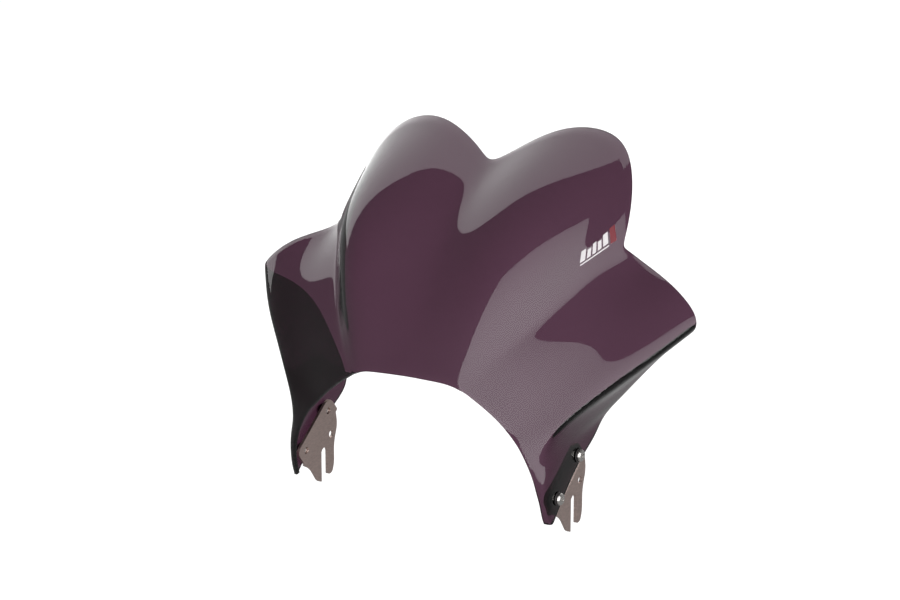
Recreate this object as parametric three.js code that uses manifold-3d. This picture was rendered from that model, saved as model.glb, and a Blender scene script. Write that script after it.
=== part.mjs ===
// Fly screen for a round motorcycle headlight: a smoked acrylic shell with two lobes, a wing on
// either side and two legs, screwed to a pair of slotted steel brackets.
// Millimetres. +X is across the motorcycle, -Y is forward and +Z is up. The origin lies on the axis
// of the headlight bolts, midway between the two brackets.
import * as THREE from 'three';
import { mergeVertices } from 'three/addons/utils/BufferGeometryUtils.js';
import Module from 'manifold-3d';

const wasm = await Module();
wasm.setup();

// ---------------------------------------------------------------- sizes

// screen
const screenThickness = 3;
const wingReach = 204; // half the width of the screen's net, at the wing tips
const lobeReach = 272; // height of the net's lobes over the headlight bolts
const stepsAlongSpan = 2;
const stepsAcross = 14;

// brackets
const boltSpacing = 237; // over the outer faces of the two slotted plates
const plateThickness = 2.5;
const joggle = 2.5; // inward step of the flange from the plate
const joggleRun = 3.5; // length of the step, centred on the fold
const boltDiameter = 8;
const boltClearance = 0.5;
const pilotHoleDiameter = 6;
const flangeWidth = 18;
const flangeAngle = 41; // degrees over the horizontal, rising to the rear
const flangeHolePitch = 40;
const flangeHoleSetback = 10; // from the fold to the line of the holes
const flangeEndMargin = 9; // from each hole to the end of the flange
const upperHole = [2.5, 35]; // depth and height of the upper flange hole
const pilotHole = [9.5, 13.5]; // depth and height of the small hole in the plate

// screws, washers and pads
const screwDiameter = 5;
const screwClearance = 0.25; // radial, in the flange, the pad and the washer
const screwTipInset = 1.3; // from the screw's end to the flange's inner face
const headDiameter = 9.5;
const headHeight = 2.75;
const socketAcrossFlats = 3;
const socketDepth = 1.6;
const washerDiameter = 11;
const washerThickness = 1;
const collarWall = 0.8;
const collarClearance = 0.3; // radial, between the collar and the screen's hole
const padDiameter = 12;
const padThickness = 1.1;
const seatGap = 0.2; // between two faces that rest on each other

// ---------------------------------------------------------------- derived places

const plateOuterX = boltSpacing / 2;
const plateInnerX = plateOuterX - plateThickness;
const flangeInnerX = plateInnerX - joggle;
const flangeOuterX = flangeInnerX + plateThickness;
const padX = flangeOuterX + seatGap;
const legInnerX = padX + padThickness + seatGap;
const legOuterX = legInnerX + screenThickness;
const washerX = legOuterX + seatGap;
const headX = washerX + washerThickness + seatGap;
const screwTipX = flangeInnerX + screwTipInset;
const flangeFront = flangeWidth - flangeHoleSetback;

const sleeveRadius = screwDiameter / 2 + screwClearance;
const collarRadius = sleeveRadius + collarWall;
const screenHoleRadius = collarRadius + collarClearance;

const foldRadians = THREE.MathUtils.degToRad(flangeAngle);
const alongFold = new THREE.Vector2(Math.cos(foldRadians), Math.sin(foldRadians));
const acrossFold = new THREE.Vector2(-alongFold.y, alongFold.x);
const holeUpper = new THREE.Vector2(...upperHole);
const holeLower = holeUpper.clone().addScaledVector(alongFold, -flangeHolePitch);

// a point of the flange: u along the fold and v across it, from one of the two holes
function flangePoint(hole, u, v) {
  return hole.clone().addScaledVector(alongFold, u).addScaledVector(acrossFold, v);
}

// ---------------------------------------------------------------- solids

function toSolid(geometry) {
  const bare = geometry.index ? geometry.toNonIndexed() : geometry.clone();
  for (const name of Object.keys(bare.attributes)) {
    if (name !== 'position') bare.deleteAttribute(name);
  }
  const merged = mergeVertices(bare, 1e-4);
  return new wasm.Manifold(new wasm.Mesh({
    numProp: 3,
    vertProperties: new Float32Array(merged.attributes.position.array),
    triVerts: new Uint32Array(merged.index.array),
  }));
}

function toGeometry(solid) {
  const mesh = solid.getMesh();
  const geometry = new THREE.BufferGeometry();
  geometry.setAttribute('position', new THREE.BufferAttribute(mesh.vertProperties, 3));
  geometry.setIndex(new THREE.BufferAttribute(mesh.triVerts, 1));
  geometry.computeVertexNormals();
  return geometry;
}

function mirrored(geometry) {
  const copy = geometry.clone();
  const position = copy.attributes.position;
  for (let i = 0; i < position.count; i++) position.setX(i, -position.getX(i));
  const index = copy.index.array;
  for (let i = 0; i < index.length; i += 3) {
    [index[i + 1], index[i + 2]] = [index[i + 2], index[i + 1]];
  }
  copy.computeVertexNormals();
  return copy;
}

// a solid of revolution about an axis along X, from [x, radius] pairs listed towards +X
function turned(profile, segments) {
  const points = profile.map(([x, r]) => new THREE.Vector2(r, x));
  const geometry = new THREE.LatheGeometry(points, segments);
  geometry.rotateZ(-Math.PI / 2);
  return geometry;
}

// a flat outline in the Y-Z plane made into a solid between two X positions
function slab(shape, fromX, toX) {
  const geometry = new THREE.ExtrudeGeometry(shape, {
    depth: toX - fromX, bevelEnabled: false, curveSegments: 6,
  });
  // the shape's x, y and depth become Y, Z and X
  geometry.applyMatrix4(new THREE.Matrix4().set(0, 0, 1, fromX, 1, 0, 0, 0, 0, 1, 0, 0, 0, 0, 0, 1));
  return geometry;
}

// a closed outline whose corners, [x, y, radius], are rounded off
function roundedOutline(corners) {
  const shape = new THREE.Shape();
  corners.forEach(([x, y, radius], i) => {
    const corner = new THREE.Vector2(x, y);
    const last = corners[(i + corners.length - 1) % corners.length];
    const next = corners[(i + 1) % corners.length];
    const toLast = new THREE.Vector2(last[0], last[1]).sub(corner);
    const toNext = new THREE.Vector2(next[0], next[1]).sub(corner);
    const cut = Math.min(radius, toLast.length() / 2, toNext.length() / 2);
    const start = corner.clone().addScaledVector(toLast.normalize(), cut);
    const end = corner.clone().addScaledVector(toNext.normalize(), cut);
    if (i === 0) shape.moveTo(start.x, start.y);
    else shape.lineTo(start.x, start.y);
    shape.quadraticCurveTo(corner.x, corner.y, end.x, end.y);
  });
  shape.closePath();
  return shape;
}

// ---------------------------------------------------------------- screen

// The outer face is a cubic B-spline surface. Each row is one rib of its net, from the arch over
// the headlight out to the free edge, listed from the middle of the screen to the tip of one leg.
// The net's points are drawn for the sizes below and move with the real ones.
const legTop = 60; // height where the legs end and the wings begin
const drawnWingReach = 204;
const drawnLobeReach = 272;
const drawnLegX = 120.5;
const drawnHole = new THREE.Vector2(2.5, 35);
const drawnFold = THREE.MathUtils.degToRad(41);
const drawnPitch = 40;
const drawnSetback = 10;
const drawnFront = 8;
const ribs = [
  // middle: the valley between the lobes
  [[0, -54, 92], [0, -37.5, 137.5], [0, -10.5, 180], [0, 29, 213], [0, 66.5, 239]],
  [[11, -53.5, 91.5], [16, -38.5, 138.5], [20, -12.5, 182.5], [20, 28, 222], [15, 79, 250]],
  // crown of the lobe
  [[23, -53, 91], [33, -40, 139], [44, -19, 184], [51, 24, 230], [53, 90, 272]],
  [[34, -52.5, 90.5], [50, -42, 137], [69, -26, 176], [88, 14, 221], [92, 99, 271]],
  // shoulder, side wall and foot of the lobe
  [[43, -52, 89], [62, -42, 129], [83, -24, 162], [108, 12, 201], [117, 89, 253]],
  [[48, -51.5, 87], [69, -38, 121], [90, -14, 152], [114, 21, 186], [129, 66, 214]],
  [[51, -51, 86], [71.5, -38, 111], [91, -13, 136], [112, 15, 163], [131, 47, 189]],
  [[53, -50.5, 85], [73.5, -37.5, 109.5], [94.5, -12.5, 134], [115.5, 16, 161], [132, 50, 187.5]],
  // wing
  [[67, -49, 76.5], [92, -34.5, 99.5], [117, -12, 123.5], [141, 15.5, 149.5], [145, 57.5, 176]],
  [[80, -47.5, 67], [108, -32, 89], [136, -12, 111.5], [162.5, 12.5, 136.5], [176, 41, 167]],
  // wing tip, where the face rolls back
  [[88.5, -46.5, 58.5], [119, -33, 78], [151, -15, 100], [180, 6, 121], [199.5, 36, 149]],
  [[96, -47.5, 51.5], [121, -36, 71], [150, -18, 92], [177, 5, 112], [204, 29.5, 136.5]],
  // side return
  [[100, -47.5, 46], [120, -40, 62], [142, -25, 82], [162, 4, 97], [181, 54, 124]],
  [[105, -47.5, 37.5], [116, -43.5, 50], [126, -31.5, 65], [140, 6, 80], [158.5, 54, 103.5]],
  [[109, -47, 29], [116, -44, 37], [119.5, -30, 48], [125.5, 7, 59], [132.5, 43.5, 71]],
  // leg
  [[111, -46.5, 22.5], [118, -44.5, 29], [120.5, -29, 39], [120.5, 5, 48.5], [121, 38.5, 57.5]],
  [[112.5, -45.5, 15], [119, -45, 20], [120.5, -28.5, 28], [120.5, 0, 36.5], [120.5, 29.5, 44]],
  [[114, -43.5, 7], [120.5, -43, 10], [120.5, -29, 17], [120.5, -13, 25], [120.5, 6, 31.5]],
  [[114.5, -41, -4], [120.5, -40.5, -2], [120.5, -33, 3], [120.5, -24.5, 8], [120.5, -14, 13.5]],
  [[115, -38.5, -9], [119, -37.5, -9.5], [120.5, -35, -9.5], [120.5, -33, -8], [120.5, -30.5, -5]],
];

// where a drawn point of a leg, depth y and height z, lies once it has moved with its flange
function besideFlange(y, z) {
  const fromHole = new THREE.Vector2(y, z).sub(drawnHole).rotateAround(new THREE.Vector2(), -drawnFold);
  const across = fromHole.y < 0
    ? fromHole.y * flangeHoleSetback / drawnSetback
    : fromHole.y * flangeFront / drawnFront;
  return flangePoint(holeUpper, fromHole.x * flangeHolePitch / drawnPitch, across);
}

// the legs follow the brackets, the wings the wing reach and the lobes the lobe reach
function netPoint([x, y, z]) {
  const outboard = Math.max(x - drawnLegX, 0);
  const inboard = Math.min(x, drawnLegX);
  const raised = Math.max(z - legTop, 0);
  const legShare = THREE.MathUtils.smoothstep(legTop - z, 0, legTop - drawnHole.y);
  const place = new THREE.Vector2(y, Math.min(z, legTop)).lerp(besideFlange(y, z), legShare);
  return new THREE.Vector3(
    inboard * legOuterX / drawnLegX
      + outboard * (wingReach - legOuterX) / (drawnWingReach - drawnLegX),
    place.x,
    place.y + raised * (lobeReach - legTop) / (drawnLobeReach - legTop),
  );
}

// the whole net, leg tip to leg tip, with one more point beyond each end of both directions
function wholeNet() {
  const right = ribs.map((rib) => rib.map(netPoint));
  const left = right.slice(1).reverse().map((rib) => rib.map((p) => new THREE.Vector3(-p.x, p.y, p.z)));
  const rows = [...left, ...right].map(withEnds);
  const columns = rows[0].map((_, j) => withEnds(rows.map((row) => row[j])));
  return columns[0].map((_, i) => columns.map((column) => column[i]));
}

// a point added past either end makes the spline start and end on the row's own end points
function withEnds(row) {
  const first = row[0].clone().multiplyScalar(2).sub(row[1]);
  const last = row[row.length - 1].clone().multiplyScalar(2).sub(row[row.length - 2]);
  return [first, ...row, last];
}

function splineWeights(t) {
  return [
    (1 - t) ** 3 / 6,
    (3 * t ** 3 - 6 * t ** 2 + 4) / 6,
    (-3 * t ** 3 + 3 * t ** 2 + 3 * t + 1) / 6,
    t ** 3 / 6,
  ];
}

function surfacePoint(net, u, v) {
  const i = Math.min(Math.floor(u), net.length - 4);
  const j = Math.min(Math.floor(v), net[0].length - 4);
  const across = splineWeights(u - i);
  const along = splineWeights(v - j);
  const point = new THREE.Vector3();
  for (let a = 0; a < 4; a++) {
    for (let b = 0; b < 4; b++) point.addScaledVector(net[i + a][j + b], across[a] * along[b]);
  }
  return point;
}

function surfaceNormal(net, u, v) {
  const h = 1e-3;
  const u0 = Math.max(u - h, 0);
  const u1 = Math.min(u + h, net.length - 3);
  const v0 = Math.max(v - h, 0);
  const v1 = Math.min(v + h, net[0].length - 3);
  const du = surfacePoint(net, u1, v).sub(surfacePoint(net, u0, v));
  const dv = surfacePoint(net, u, v1).sub(surfacePoint(net, u, v0));
  return du.cross(dv).normalize();
}

// both faces of the shell and the four strips of cut edge that join them
function shell() {
  const net = wholeNet();
  const spansU = net.length - 3;
  const spansV = net[0].length - 3;
  const countU = spansU * stepsAlongSpan + 1;
  const countV = stepsAcross + 1;
  const positions = [];
  const inner = (k) => k + countU * countV;
  for (const depth of [0, screenThickness]) {
    for (let i = 0; i < countU; i++) {
      for (let j = 0; j < countV; j++) {
        const u = i / stepsAlongSpan;
        const v = spansV * j / stepsAcross;
        const normal = surfaceNormal(net, u, v);
        positions.push(...surfacePoint(net, u, v).addScaledVector(normal, -depth).toArray());
      }
    }
  }
  const triangles = [];
  const quad = (a, b, c, d) => triangles.push(a, b, c, a, c, d);
  const at = (i, j) => i * countV + j;
  for (let i = 0; i < countU - 1; i++) {
    for (let j = 0; j < countV - 1; j++) {
      const corners = [at(i, j), at(i + 1, j), at(i + 1, j + 1), at(i, j + 1)];
      quad(...corners);
      quad(...corners.map(inner).reverse());
    }
  }
  const rim = [];
  for (let i = 0; i < countU - 1; i++) rim.push(at(i, 0));
  for (let j = 0; j < countV - 1; j++) rim.push(at(countU - 1, j));
  for (let i = countU - 1; i > 0; i--) rim.push(at(i, countV - 1));
  for (let j = countV - 1; j > 0; j--) rim.push(at(0, j));
  rim.forEach((a, k) => {
    const b = rim[(k + 1) % rim.length];
    quad(b, a, inner(a), inner(b));
  });
  const geometry = new THREE.BufferGeometry();
  geometry.setAttribute('position', new THREE.BufferAttribute(new Float32Array(positions), 3));
  geometry.setIndex(triangles);
  return geometry;
}

// a cylinder through a leg or a bracket, along X, about one flange hole
function holeCutter(hole, radius, segments) {
  const length = 40;
  const geometry = new THREE.CylinderGeometry(radius, radius, length, segments);
  geometry.rotateZ(Math.PI / 2);
  geometry.translate(legInnerX, hole.x, hole.y);
  return geometry;
}

function screenGeometry() {
  let solid = toSolid(shell());
  for (const hole of [holeUpper, holeLower]) {
    const cutter = holeCutter(hole, screenHoleRadius, 20);
    solid = solid.subtract(toSolid(cutter)).subtract(toSolid(mirrored(cutter)));
  }
  return toGeometry(solid);
}

// ---------------------------------------------------------------- bracket

// outline of the flat blank: the flange, then the plate down its rear edge to the rear prong, and
// from the front prong back up to the flange
function blankOutline() {
  const rearTop = flangePoint(holeUpper, flangeEndMargin, -flangeHoleSetback);
  const frontTop = flangePoint(holeUpper, flangeEndMargin, flangeFront);
  const frontLow = flangePoint(holeLower, -flangeEndMargin, flangeFront);
  const rearLow = flangePoint(holeLower, -flangeEndMargin, -flangeHoleSetback);
  const slotHalf = (boltDiameter + boltClearance) / 2;
  return roundedOutline([
    [frontTop.x, frontTop.y, 8],
    [frontLow.x, frontLow.y, 7],
    [rearLow.x, rearLow.y, 4],
    [-18, -9.5, 5],
    [-slotHalf - 4.5, -22.5, 3],
    [-slotHalf + 1, -24.5, 3],
    [0, -8, 1],
    [slotHalf, -20, 3],
    [slotHalf + 6, -19.5, 3.5],
    [slotHalf + 8.8, -12, 4],
    [slotHalf + 8.8, 5, 6],
    [slotHalf + 13.8, 20, 5],
    [rearTop.x, rearTop.y, 5],
  ]);
}

// the sheet stepped inward at the fold, long enough to hold the whole blank
function joggledSheet() {
  const reach = 60;
  const steps = 10;
  const middle = [];
  middle.push([-reach, plateInnerX + plateThickness / 2]);
  for (let k = 0; k <= steps; k++) {
    const step = joggle * (1 - Math.cos(Math.PI * k / steps)) / 2;
    middle.push([joggleRun * (k / steps - 0.5), plateInnerX + plateThickness / 2 - step]);
  }
  middle.push([reach, flangeInnerX + plateThickness / 2]);
  const sides = [1, -1].map((side) => middle.map(([s, x], k) => {
    const [s0, x0] = middle[Math.max(k - 1, 0)];
    const [s1, x1] = middle[Math.min(k + 1, middle.length - 1)];
    const level = k < 2 || k > middle.length - 3;
    const run = level ? 1 : s1 - s0;
    const rise = level ? 0 : x1 - x0;
    const length = Math.hypot(run, rise);
    const half = side * plateThickness / 2 / length;
    return new THREE.Vector2(s - rise * half, x + run * half);
  }));
  const section = new THREE.Shape([...sides[1], ...sides[0].reverse()]);
  const geometry = new THREE.ExtrudeGeometry(section, { depth: 2 * reach, bevelEnabled: false });
  geometry.translate(0, 0, -reach);
  const fold = flangePoint(holeUpper, 0, -flangeHoleSetback);
  // the section's x, y and depth run across the fold, along X and along the fold
  geometry.applyMatrix4(new THREE.Matrix4().set(
    0, 1, 0, 0,
    acrossFold.x, 0, alongFold.x, fold.x,
    acrossFold.y, 0, alongFold.y, fold.y,
    0, 0, 0, 1,
  ));
  return geometry;
}

// an open-ended slot that drops over the headlight bolt
function slotOutline() {
  const half = (boltDiameter + boltClearance) / 2;
  const shape = new THREE.Shape();
  shape.moveTo(-half, -40);
  shape.lineTo(half, -40);
  shape.lineTo(half, 0);
  shape.absarc(0, 0, half, 0, Math.PI, false);
  shape.closePath();
  return shape;
}

function bracketGeometry() {
  const fromX = flangeInnerX - 5;
  const toX = plateOuterX + 5;
  const pilot = new THREE.Vector2(...pilotHole);
  let solid = toSolid(joggledSheet()).intersect(toSolid(slab(blankOutline(), fromX, toX)));
  solid = solid.subtract(toSolid(slab(slotOutline(), fromX, toX)));
  solid = solid.subtract(toSolid(holeCutter(pilot, pilotHoleDiameter / 2, 20)));
  for (const hole of [holeUpper, holeLower]) {
    solid = solid.subtract(toSolid(holeCutter(hole, sleeveRadius, 20)));
  }
  return toGeometry(solid);
}

// ---------------------------------------------------------------- screws, washers and pads

// button-head screw along X, its head outermost, with a hexagon socket
function screwGeometry() {
  const radius = headDiameter / 2;
  const chamfer = 0.4;
  const rim = 0.7;
  const flatRadius = socketAcrossFlats / Math.sqrt(3) + 0.5;
  const profile = [[screwTipX, 0], [screwTipX, screwDiameter / 2 - chamfer]];
  profile.push([screwTipX + chamfer, screwDiameter / 2], [headX, screwDiameter / 2]);
  profile.push([headX, radius - 0.1], [headX + rim, radius]);
  const steps = 5;
  for (let k = 1; k <= steps; k++) {
    const angle = Math.PI / 2 * k / steps;
    const rise = (headHeight - rim) * Math.sin(angle);
    profile.push([headX + rim + rise, radius - (radius - flatRadius) * (1 - Math.cos(angle))]);
  }
  profile.push([headX + headHeight, 0]);
  const socket = new THREE.CylinderGeometry(
    socketAcrossFlats / Math.sqrt(3), socketAcrossFlats / Math.sqrt(3), 2 * socketDepth, 6);
  socket.rotateZ(Math.PI / 2);
  socket.translate(headX + headHeight, 0, 0);
  return toGeometry(toSolid(turned(profile, 24)).subtract(toSolid(socket)));
}

// washer under the head, with a collar that lines the screen's hole
function washerGeometry() {
  const collarEnd = legInnerX + seatGap;
  return toGeometry(toSolid(turned([
    [collarEnd, sleeveRadius],
    [collarEnd, collarRadius],
    [washerX, collarRadius],
    [washerX, washerDiameter / 2],
    [washerX + washerThickness, washerDiameter / 2],
    [washerX + washerThickness, sleeveRadius],
    [collarEnd, sleeveRadius],
  ], 24)));
}

// soft pad between the flange and the screen
function padGeometry() {
  return toGeometry(toSolid(turned([
    [padX, sleeveRadius],
    [padX, padDiameter / 2],
    [padX + padThickness, padDiameter / 2],
    [padX + padThickness, sleeveRadius],
    [padX, sleeveRadius],
  ], 24)));
}

// ---------------------------------------------------------------- assembly

const materials = {
  acrylic: { color: 0x4a3341, roughness: 0.08, metalness: 0, transparent: true, opacity: 0.8 },
  steel: { color: 0x7a6a66, roughness: 0.4, metalness: 0.8 },
  screw: { color: 0xb8b4b0, roughness: 0.3, metalness: 0.9 },
  nylon: { color: 0x2a2527, roughness: 0.6, metalness: 0 },
  rubber: { color: 0x1d1a1b, roughness: 0.9, metalness: 0 },
};

const group = new THREE.Group();

function addPiece(name, geometry, look, place = [0, 0, 0]) {
  const mesh = new THREE.Mesh(geometry, new THREE.MeshStandardMaterial(materials[look]));
  mesh.name = name;
  mesh.position.set(...place);
  group.add(mesh);
}

addPiece('screen', screenGeometry(), 'acrylic');

const rightPieces = {
  bracket: bracketGeometry(),
  screw: screwGeometry(),
  washer: washerGeometry(),
  pad: padGeometry(),
};

for (const side of ['right', 'left']) {
  const sided = (kind) => (side === 'right' ? rightPieces[kind] : mirrored(rightPieces[kind]));
  addPiece(`bracket_${side}`, sided('bracket'), 'steel');
  for (const [level, hole] of [['upper', holeUpper], ['lower', holeLower]]) {
    const place = [0, hole.x, hole.y];
    addPiece(`screw_${level}_${side}`, sided('screw'), 'screw', place);
    addPiece(`washer_${level}_${side}`, sided('washer'), 'nylon', place);
    addPiece(`pad_${level}_${side}`, sided('pad'), 'rubber', place);
  }
}

export default group;
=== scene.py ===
"""Looks of the fly screen: a smoked acrylic shell on two slotted steel brackets.

Metres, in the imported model's frame: +X across the motorcycle, -Y forward, +Z up, with the origin
on the headlight bolts' axis, midway between the brackets.
"""

import math

import bpy
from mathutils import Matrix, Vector
from mathutils.bvhtree import BVHTree


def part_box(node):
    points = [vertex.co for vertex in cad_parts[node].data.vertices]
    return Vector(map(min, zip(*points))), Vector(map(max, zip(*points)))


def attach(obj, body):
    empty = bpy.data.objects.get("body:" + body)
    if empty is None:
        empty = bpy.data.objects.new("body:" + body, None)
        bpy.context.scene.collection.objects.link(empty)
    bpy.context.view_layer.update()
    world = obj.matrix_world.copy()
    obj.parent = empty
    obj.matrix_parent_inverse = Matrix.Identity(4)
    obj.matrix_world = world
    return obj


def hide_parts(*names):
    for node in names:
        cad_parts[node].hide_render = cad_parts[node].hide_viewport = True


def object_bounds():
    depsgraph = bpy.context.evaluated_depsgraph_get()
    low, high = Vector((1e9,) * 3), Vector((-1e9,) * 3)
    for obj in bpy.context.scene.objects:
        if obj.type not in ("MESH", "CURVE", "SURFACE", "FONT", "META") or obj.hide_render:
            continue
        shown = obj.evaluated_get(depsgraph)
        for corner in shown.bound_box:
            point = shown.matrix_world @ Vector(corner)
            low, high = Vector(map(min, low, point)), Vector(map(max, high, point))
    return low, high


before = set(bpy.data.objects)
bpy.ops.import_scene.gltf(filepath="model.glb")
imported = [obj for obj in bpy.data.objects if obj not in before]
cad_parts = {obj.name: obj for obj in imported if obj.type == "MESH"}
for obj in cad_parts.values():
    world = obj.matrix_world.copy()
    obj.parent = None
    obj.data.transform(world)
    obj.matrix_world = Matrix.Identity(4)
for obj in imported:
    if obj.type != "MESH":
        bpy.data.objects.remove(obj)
cad_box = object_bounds()

MM = 0.001

# ---------------------------------------------------------------- sizes

SCREEN_THICKNESS = 3 * MM
EDGE_ROUNDING = 0.35 * MM
WELD_DISTANCE = 0.01 * MM
DECAL_LIFT = 0.16 * MM
DECAL_THICKNESS = 0.1 * MM
NODE_ROUNDING = 0.25 * MM
COLLAR_CLEARANCE = 0.3 * MM
SHELL_SUBDIVISIONS = 3

# The net of the screen's outer face, in millimetres: one row for each rib, from the arch over the
# headlight out to the free edge, listed from the middle of the screen to the tip of the right leg.
RIBS = [
    # middle: the valley between the lobes
    [(0, -54, 92), (0, -37.5, 137.5), (0, -10.5, 180), (0, 29, 213), (0, 66.5, 239)],
    [(11, -53.5, 91.5), (16, -38.5, 138.5), (20, -12.5, 182.5), (20, 28, 222), (15, 79, 250)],
    # crown of the lobe
    [(23, -53, 91), (33, -40, 139), (44, -19, 184), (51, 24, 230), (53, 90, 272)],
    [(34, -52.5, 90.5), (50, -42, 137), (69, -26, 176), (88, 14, 221), (92, 99, 271)],
    # shoulder, side wall and foot of the lobe
    [(43, -52, 89), (62, -42, 129), (83, -24, 162), (108, 12, 201), (117, 89, 253)],
    [(48, -51.5, 87), (69, -38, 121), (90, -14, 152), (114, 21, 186), (129, 66, 214)],
    [(51, -51, 86), (71.5, -38, 111), (91, -13, 136), (112, 15, 163), (131, 47, 189)],
    [(53, -50.5, 85), (73.5, -37.5, 109.5), (94.5, -12.5, 134), (115.5, 16, 161), (132, 50, 187.5)],
    # wing
    [(67, -49, 76.5), (92, -34.5, 99.5), (117, -12, 123.5), (141, 15.5, 149.5), (145, 57.5, 176)],
    [(80, -47.5, 67), (108, -32, 89), (136, -12, 111.5), (162.5, 12.5, 136.5), (176, 41, 167)],
    # wing tip, where the face rolls back
    [(88.5, -46.5, 58.5), (119, -33, 78), (151, -15, 100), (180, 6, 121), (199.5, 36, 149)],
    [(96, -47.5, 51.5), (121, -36, 71), (150, -18, 92), (177, 5, 112), (204, 29.5, 136.5)],
    # side return
    [(100, -47.5, 46), (120, -40, 62), (142, -25, 82), (162, 4, 97), (181, 54, 124)],
    [(105, -47.5, 37.5), (116, -43.5, 50), (126, -31.5, 65), (140, 6, 80), (158.5, 54, 103.5)],
    [(109, -47, 29), (116, -44, 37), (119.5, -30, 48), (125.5, 7, 59), (132.5, 43.5, 71)],
    # leg
    [(111, -46.5, 22.5), (118, -44.5, 29), (120.5, -29, 39), (120.5, 5, 48.5), (121, 38.5, 57.5)],
    [(112.5, -45.5, 15), (119, -45, 20), (120.5, -28.5, 28), (120.5, 0, 36.5), (120.5, 29.5, 44)],
    [(114, -43.5, 7), (120.5, -43, 10), (120.5, -29, 17), (120.5, -13, 25), (120.5, 6, 31.5)],
    [(114.5, -41, -4), (120.5, -40.5, -2), (120.5, -33, 3), (120.5, -24.5, 8), (120.5, -14, 13.5)],
    [(115, -38.5, -9), (119, -37.5, -9.5), (120.5, -35, -9.5), (120.5, -33, -8), (120.5, -30.5, -5)],
]


# ---------------------------------------------------------------- helpers


def link(obj):
    bpy.context.scene.collection.objects.link(obj)
    return obj


def mesh_object(name, vertices, faces):
    mesh = bpy.data.meshes.new(name)
    mesh.from_pydata(vertices, [], faces)
    mesh.validate()
    return link(bpy.data.objects.new(name, mesh))


def apply_modifiers(obj):
    graph = bpy.context.evaluated_depsgraph_get()
    mesh = bpy.data.meshes.new_from_object(obj.evaluated_get(graph))
    obj.modifiers.clear()
    obj.data = mesh


def remove(obj):
    bpy.data.objects.remove(obj, do_unlink=True)


def smooth_by_angle(obj, degrees):
    obj.data.shade_smooth()
    obj.data.set_sharp_from_angle(angle=math.radians(degrees))


# ---------------------------------------------------------------- materials


class Nodes:
    """A new node material with one Principled shader, and short calls for adding nodes to it."""

    def __init__(self, name):
        self.material = bpy.data.materials.new(name)
        self.material.use_nodes = True
        self.tree = self.material.node_tree
        self.shader = self.tree.nodes["Principled BSDF"]
        self.output = self.tree.nodes["Material Output"]

    def add(self, kind, **settings):
        node = self.tree.nodes.new(kind)
        for key, value in settings.items():
            setattr(node, key, value)
        return node

    def join(self, source, target):
        self.tree.links.new(source, target)

    def noise(self, scale, detail=2.0, stretch=(1, 1, 1)):
        coords = self.add("ShaderNodeTexCoord")
        mapping = self.add("ShaderNodeMapping")
        mapping.inputs["Scale"].default_value = stretch
        texture = self.add("ShaderNodeTexNoise")
        texture.inputs["Scale"].default_value = scale
        texture.inputs["Detail"].default_value = detail
        self.join(coords.outputs["Object"], mapping.inputs["Vector"])
        self.join(mapping.outputs["Vector"], texture.inputs["Vector"])
        return texture.outputs["Fac"]

    def ramp(self, source, stops):
        ramp = self.add("ShaderNodeValToRGB")
        elements = ramp.color_ramp.elements
        elements[0].position, elements[1].position = stops[0][0], stops[-1][0]
        for position, _ in stops[1:-1]:
            elements.new(position)
        for element, (_, colour) in zip(elements, stops):
            element.color = (*colour, 1)
        self.join(source, ramp.inputs["Fac"])
        return ramp.outputs["Color"]

    def range(self, source, low, high):
        node = self.add("ShaderNodeMapRange")
        node.inputs["To Min"].default_value = low
        node.inputs["To Max"].default_value = high
        self.join(source, node.inputs["Value"])
        return node.outputs["Result"]

    def bump(self, source, strength, distance):
        node = self.add("ShaderNodeBump")
        node.inputs["Strength"].default_value = strength
        node.inputs["Distance"].default_value = distance
        self.join(source, node.inputs["Height"])
        self.join(node.outputs["Normal"], self.shader.inputs["Normal"])

    def set(self, **values):
        for key, value in values.items():
            self.shader.inputs[key.replace("_", " ")].default_value = value


def acrylic_material():
    m = Nodes("smoked_acrylic")
    m.set(Transmission_Weight=1.0, IOR=1.49)
    # a faint clouding of the tint, and a wipe-mark unevenness in the gloss
    tint = m.ramp(m.noise(9, 3), [(0.35, (0.93, 0.90, 0.92)), (0.65, (1.0, 0.97, 0.99))])
    m.join(tint, m.shader.inputs["Base Color"])
    m.join(m.range(m.noise(60, 4), 0.015, 0.035), m.shader.inputs["Roughness"])
    m.bump(m.noise(18, 0), 0.03, 0.3 * MM)
    absorb = m.add("ShaderNodeVolumeAbsorption")
    absorb.inputs["Color"].default_value = (0.33, 0.11, 0.25, 1)
    absorb.inputs["Density"].default_value = 1250
    m.join(absorb.outputs["Volume"], m.output.inputs["Volume"])
    return m.material


def steel_material():
    m = Nodes("bracket_steel")
    m.set(Metallic=1.0)
    grain = m.noise(55, 6, stretch=(1, 6, 30))
    # The steel's colour carries a pinkish cast that is a painted reflection of the purple acrylic;
    # the streaks between the two colours are the brushed grain.
    colour = m.ramp(grain, [(0.3, (0.52, 0.41, 0.38)), (0.7, (0.68, 0.54, 0.50))])
    m.join(colour, m.shader.inputs["Base Color"])
    m.join(m.range(grain, 0.32, 0.5), m.shader.inputs["Roughness"])
    m.bump(grain, 0.15, 0.05 * MM)
    return m.material


def screw_material():
    m = Nodes("screw_steel")
    m.set(Metallic=1.0)
    grain = m.noise(900, 3)
    colour = m.ramp(grain, [(0.3, (0.55, 0.53, 0.51)), (0.7, (0.72, 0.70, 0.68))])
    m.join(colour, m.shader.inputs["Base Color"])
    m.join(m.range(grain, 0.2, 0.34), m.shader.inputs["Roughness"])
    return m.material


def moulded_material(name, dark, light, roughness):
    m = Nodes(name)
    grain = m.noise(1400, 4)
    m.join(m.ramp(grain, [(0.3, dark), (0.7, light)]), m.shader.inputs["Base Color"])
    m.join(m.range(grain, roughness - 0.08, roughness + 0.08), m.shader.inputs["Roughness"])
    m.bump(grain, 0.2, 0.05 * MM)
    return m.material


# ---------------------------------------------------------------- screen


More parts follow.
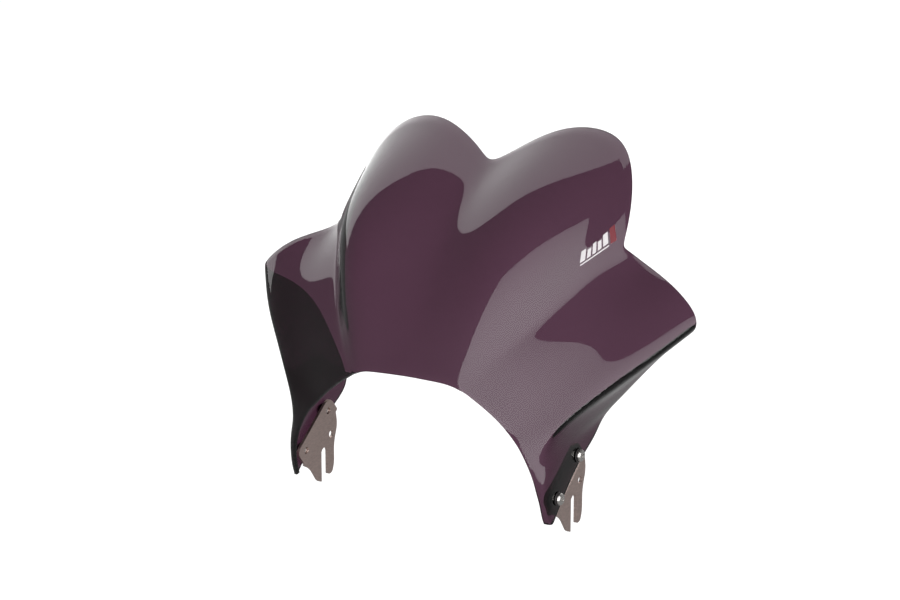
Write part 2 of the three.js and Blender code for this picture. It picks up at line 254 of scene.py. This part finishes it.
def net_mesh():
    """The net, leg tip to leg tip, whose subdivision is the screen's outer face."""
    right = [[Vector(point) * MM for point in rib] for rib in RIBS]
    mirror = Vector((-1, 1, 1))
    left = [[point * mirror for point in rib] for rib in reversed(right[1:])]
    rows = left + right
    across = len(rows[0])
    vertices = [point for row in rows for point in row]
    faces = []
    for i in range(len(rows) - 1):
        for j in range(across - 1):
            a = i * across + j
            faces.append((a, a + across, a + across + 1, a + 1))
    return mesh_object("screen_shell", vertices, faces)


def outer_face(levels):
    obj = net_mesh()
    subdivide = obj.modifiers.new("smooth", "SUBSURF")
    subdivide.levels = levels
    subdivide.render_levels = levels
    subdivide.boundary_smooth = "PRESERVE_CORNERS"
    apply_modifiers(obj)
    return obj


def hole_cutter(washer):
    """A cylinder through the leg, where the washer's collar goes in."""
    low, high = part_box(washer)
    centre = (low + high) / 2
    through_leg = 10 * SCREEN_THICKNESS
    bpy.ops.mesh.primitive_cylinder_add(
        vertices=48, radius=collar_radius(washer) + COLLAR_CLEARANCE, depth=through_leg,
        location=centre, rotation=(0, math.pi / 2, 0),
    )
    return bpy.context.object


def collar_radius(washer):
    """Radius of the part of a shoulder washer that is nearest the bracket."""
    low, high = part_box(washer)
    inner_x = min(abs(low.x), abs(high.x))
    centre = (low + high) / 2
    reach = 0
    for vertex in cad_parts[washer].data.vertices:
        if abs(abs(vertex.co.x) - inner_x) < 0.1 * MM:
            reach = max(reach, math.hypot(vertex.co.y - centre.y, vertex.co.z - centre.z))
    return reach


def screen_shell(material):
    shell = outer_face(SHELL_SUBDIVISIONS)
    thicken = shell.modifiers.new("thickness", "SOLIDIFY")
    thicken.thickness = SCREEN_THICKNESS
    thicken.offset = -1
    thicken.use_even_offset = True
    apply_modifiers(shell)
    washers = [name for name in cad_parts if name.startswith("washer")]
    for washer in sorted(washers):
        cutter = hole_cutter(washer)
        cut = shell.modifiers.new("hole", "BOOLEAN")
        cut.object = cutter
        cut.operation = "DIFFERENCE"
        cut.solver = "EXACT"
        apply_modifiers(shell)
        remove(cutter)
    rounding = shell.modifiers.new("edge", "BEVEL")
    rounding.width = EDGE_ROUNDING
    rounding.segments = 2
    rounding.limit_method = "ANGLE"
    rounding.angle_limit = math.radians(50)
    apply_modifiers(shell)
    smooth_by_angle(shell, 40)
    shell.data.materials.clear()
    shell.data.materials.append(material)
    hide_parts("screen")
    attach(shell, "root")
    return shell


# ---------------------------------------------------------------- decal

# The decal lies on the right side wall of the lobe, drawn flat in millimetres as the wall is seen
# from +X. Each patch is its start and end along the decal and its bottom and top over the corner.
DECAL_CORNER = (18, 177.5)  # Y and Z
DECAL_RISE = math.radians(30)
DECAL_LEAN = 0.28  # shift along Y for each millimetre up
DECAL_STEPS = 8
OUTSIDE_X = 0.25  # clear of the wall
DECAL_BARS = [
    (0, 4.6, 1.2, 9.6),
    (6.2, 9.6, 1.2, 7.6),
    (11.2, 14.6, 1.2, 9.0),
    (16.2, 19.6, 1.2, 7.6),
    (21.2, 26.0, 1.2, 9.6),
    (0.6, 26.4, -1.2, -0.2),  # the thin bar under the others
]
DECAL_MARK = [(28.0, 33.5, -0.6, 10.5)]


def wall_sheet(name, wall, patches, material):
    """Thin flat patches laid on the wall, each a grid dropped on to it along -X."""
    tree = BVHTree.FromPolygons(
        [v.co for v in wall.data.vertices], [tuple(p.vertices) for p in wall.data.polygons])
    steps = DECAL_STEPS
    vertices, faces = [], []
    for left, right, bottom, top in patches:
        first = len(vertices)
        for i in range(steps + 1):
            for j in range(steps + 1):
                s = left + (right - left) * i / steps
                t = bottom + (top - bottom) * j / steps
                y = DECAL_CORNER[0] + math.cos(DECAL_RISE) * s + DECAL_LEAN * t
                z = DECAL_CORNER[1] + math.sin(DECAL_RISE) * s + t
                start = Vector((OUTSIDE_X, y * MM, z * MM))
                hit, normal, _, _ = tree.ray_cast(start, Vector((-1, 0, 0)))
                vertices.append(hit + normal * DECAL_LIFT)
        for i in range(steps):
            for j in range(steps):
                a = first + i * (steps + 1) + j
                faces.append((a, a + steps + 1, a + steps + 2, a + 1))
    obj = mesh_object(name, vertices, faces)
    thicken = obj.modifiers.new("thickness", "SOLIDIFY")
    thicken.thickness = DECAL_THICKNESS
    thicken.offset = -1
    apply_modifiers(obj)
    smooth_by_angle(obj, 40)
    obj.data.materials.clear()
    obj.data.materials.append(material)
    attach(obj, "root")
    return obj


# ---------------------------------------------------------------- carried-over pieces


def finish_node(name, material, angle):
    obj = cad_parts[name]
    obj.data.materials.clear()
    obj.data.materials.append(material)
    weld = obj.modifiers.new("weld", "WELD")
    weld.merge_threshold = WELD_DISTANCE
    rounding = obj.modifiers.new("edge", "BEVEL")
    rounding.width = NODE_ROUNDING
    rounding.segments = 2
    rounding.limit_method = "ANGLE"
    rounding.angle_limit = math.radians(angle)


# ---------------------------------------------------------------- stage

CAMERA_FROM = (33.07, 12)  # azimuth and elevation, degrees
CAMERA_PLACE = (0.831, -1.266, 0.463)


def direction(azimuth, elevation):
    """Unit vector: azimuth 0 is straight in front of the screen and 90 is towards +X."""
    azimuth, elevation = math.radians(azimuth), math.radians(elevation)
    flat = math.cos(elevation)
    return Vector((math.sin(azimuth) * flat, -math.cos(azimuth) * flat, math.sin(elevation)))


def softbox(name, corner, side, rise, glow_low, glow_high):
    """A plain glowing rectangle, from one corner along two sides, whose glow changes with height."""
    corner, side, rise = Vector(corner), Vector(side), Vector(rise)
    corners = [corner, corner + side, corner + side + rise, corner + rise]
    panel = mesh_object(name, corners, [(0, 1, 2, 3)])
    heights = [point.z for point in corners]
    m = Nodes(name)
    height = m.add("ShaderNodeSeparateXYZ")
    m.join(m.add("ShaderNodeTexCoord").outputs["Object"], height.inputs["Vector"])
    glow = m.range(height.outputs["Z"], glow_low, glow_high)
    glow.node.inputs["From Min"].default_value = min(heights)
    glow.node.inputs["From Max"].default_value = max(heights)
    m.join(glow, m.shader.inputs["Emission Strength"])
    m.set(Base_Color=(0, 0, 0, 1), Specular_IOR_Level=0.0, Emission_Color=(1, 1, 1, 1))
    panel.data.materials.append(m.material)
    panel.visible_camera = False
    panel.visible_transmission = False


def backdrop():
    """A pale round floor that sweeps up into a wall all round."""
    low = cad_box[0][2] - 0.03
    radius, bend, height, steps, turns = 6.5, 1.5, 5.0, 12, 64
    profile = [(0.01, low), (radius - bend, low)]
    for k in range(1, steps + 1):
        angle = math.pi / 2 * k / steps
        profile.append((radius - bend + bend * math.sin(angle), low + bend * (1 - math.cos(angle))))
    profile.append((radius, low + height))
    vertices = []
    for out, z in profile:
        for k in range(turns):
            angle = 2 * math.pi * k / turns
            vertices.append((out * math.cos(angle), out * math.sin(angle), z))
    faces = [tuple(range(turns))]
    for i in range(len(profile) - 1):
        for k in range(turns):
            a, b = i * turns + k, i * turns + (k + 1) % turns
            faces.append((a, a + turns, b + turns, b))
    floor = mesh_object("floor", vertices, faces)
    floor.data.shade_smooth()
    m = Nodes("floor_white")
    m.join(m.ramp(m.noise(3), [(0.3, (0.24, 0.24, 0.24)), (0.7, (0.26, 0.26, 0.26))]),
           m.shader.inputs["Base Color"])
    m.set(Roughness=0.9, Emission_Color=(1, 1, 1, 1), Emission_Strength=0.85)
    floor.data.materials.append(m.material)
    # reflections show the softboxes and the dim studio, and not the floor
    floor.visible_glossy = False


def soft_light():
    """A large weak lamp over the front, besides the softboxes."""
    towards = direction(35, 50)
    data = bpy.data.lights.new("soft_light", "AREA")
    data.shape = "DISK"
    data.size = 1.2
    data.energy = 4
    lamp = link(bpy.data.objects.new("soft_light", data))
    lamp.location = towards * 2.2
    lamp.rotation_euler = towards.to_track_quat("Z", "Y").to_euler()
    lamp.visible_glossy = False
    lamp.visible_camera = False


def studio_world():
    """Dim surroundings, brighter at and below the horizon than overhead."""
    world = bpy.data.worlds.new("studio")
    world.use_nodes = True
    nodes, links = world.node_tree.nodes, world.node_tree.links
    nodes["Background"].inputs["Color"].default_value = (1, 1, 1, 1)
    coords = nodes.new("ShaderNodeTexCoord")
    height = nodes.new("ShaderNodeSeparateXYZ")
    fade = nodes.new("ShaderNodeMapRange")
    for socket, value in (("From Min", 0.0), ("From Max", 0.5), ("To Min", 0.32), ("To Max", 0.18)):
        fade.inputs[socket].default_value = value
    links.new(coords.outputs["Generated"], height.inputs["Vector"])
    links.new(height.outputs["Z"], fade.inputs["Value"])
    links.new(fade.outputs["Result"], nodes["Background"].inputs["Strength"])
    return world


def stage():
    bpy.context.scene.view_settings.view_transform = "Standard"
    bpy.context.scene.world = studio_world()
    backdrop()
    soft_light()
    # overhead and behind: its front edge lies straight above the screen
    softbox("softbox_behind", (2.8, 0.6, 4.75), (-4.9, -0.65, -4.05), (0.45, 3.1, -1.05), 1.7, 1.8)
    # in front and to the right, behind the camera
    softbox("softbox_front", (-0.6, -3.6, -0.35), (4.15, 3.5, 0), (0, 0, 3.6), 3.2, 1.9)


def camera():
    data = bpy.data.cameras.new("camera")
    data.sensor_width = 36
    data.lens = 80
    cam = link(bpy.data.objects.new("camera", data))
    cam.location = CAMERA_PLACE
    cam.rotation_euler = (-direction(*CAMERA_FROM)).to_track_quat("-Z", "Y").to_euler()
    bpy.context.scene.camera = cam


# ---------------------------------------------------------------- build

camera()
stage()
shell = screen_shell(acrylic_material())
wall_sheet("decal_bars", shell, DECAL_BARS,
           moulded_material("decal_white", (0.46, 0.44, 0.45), (0.56, 0.54, 0.55), 0.45))
wall_sheet("decal_mark", shell, DECAL_MARK,
           moulded_material("decal_red", (0.10, 0.004, 0.01), (0.15, 0.007, 0.016), 0.45))

steel = steel_material()
screw = screw_material()
nylon = moulded_material("washer_nylon", (0.018, 0.016, 0.017), (0.03, 0.027, 0.028), 0.5)
# The pads' near-black is partly rubber's own colour and partly painted shade: it stands in for the
# dark band of shade along the edge of each bracket's flange.
rubber_and_painted_shade = moulded_material("pad_rubber", (0.010, 0.009, 0.010), (0.018, 0.016, 0.017), 0.75)
LOOKS = {"bracket": (steel, 40), "screw": (screw, 35), "washer": (nylon, 40), "pad": (rubber_and_painted_shade, 40)}
for node in sorted(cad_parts):
    kind = node.split("_")[0]
    if kind in LOOKS:
        finish_node(node, *LOOKS[kind])
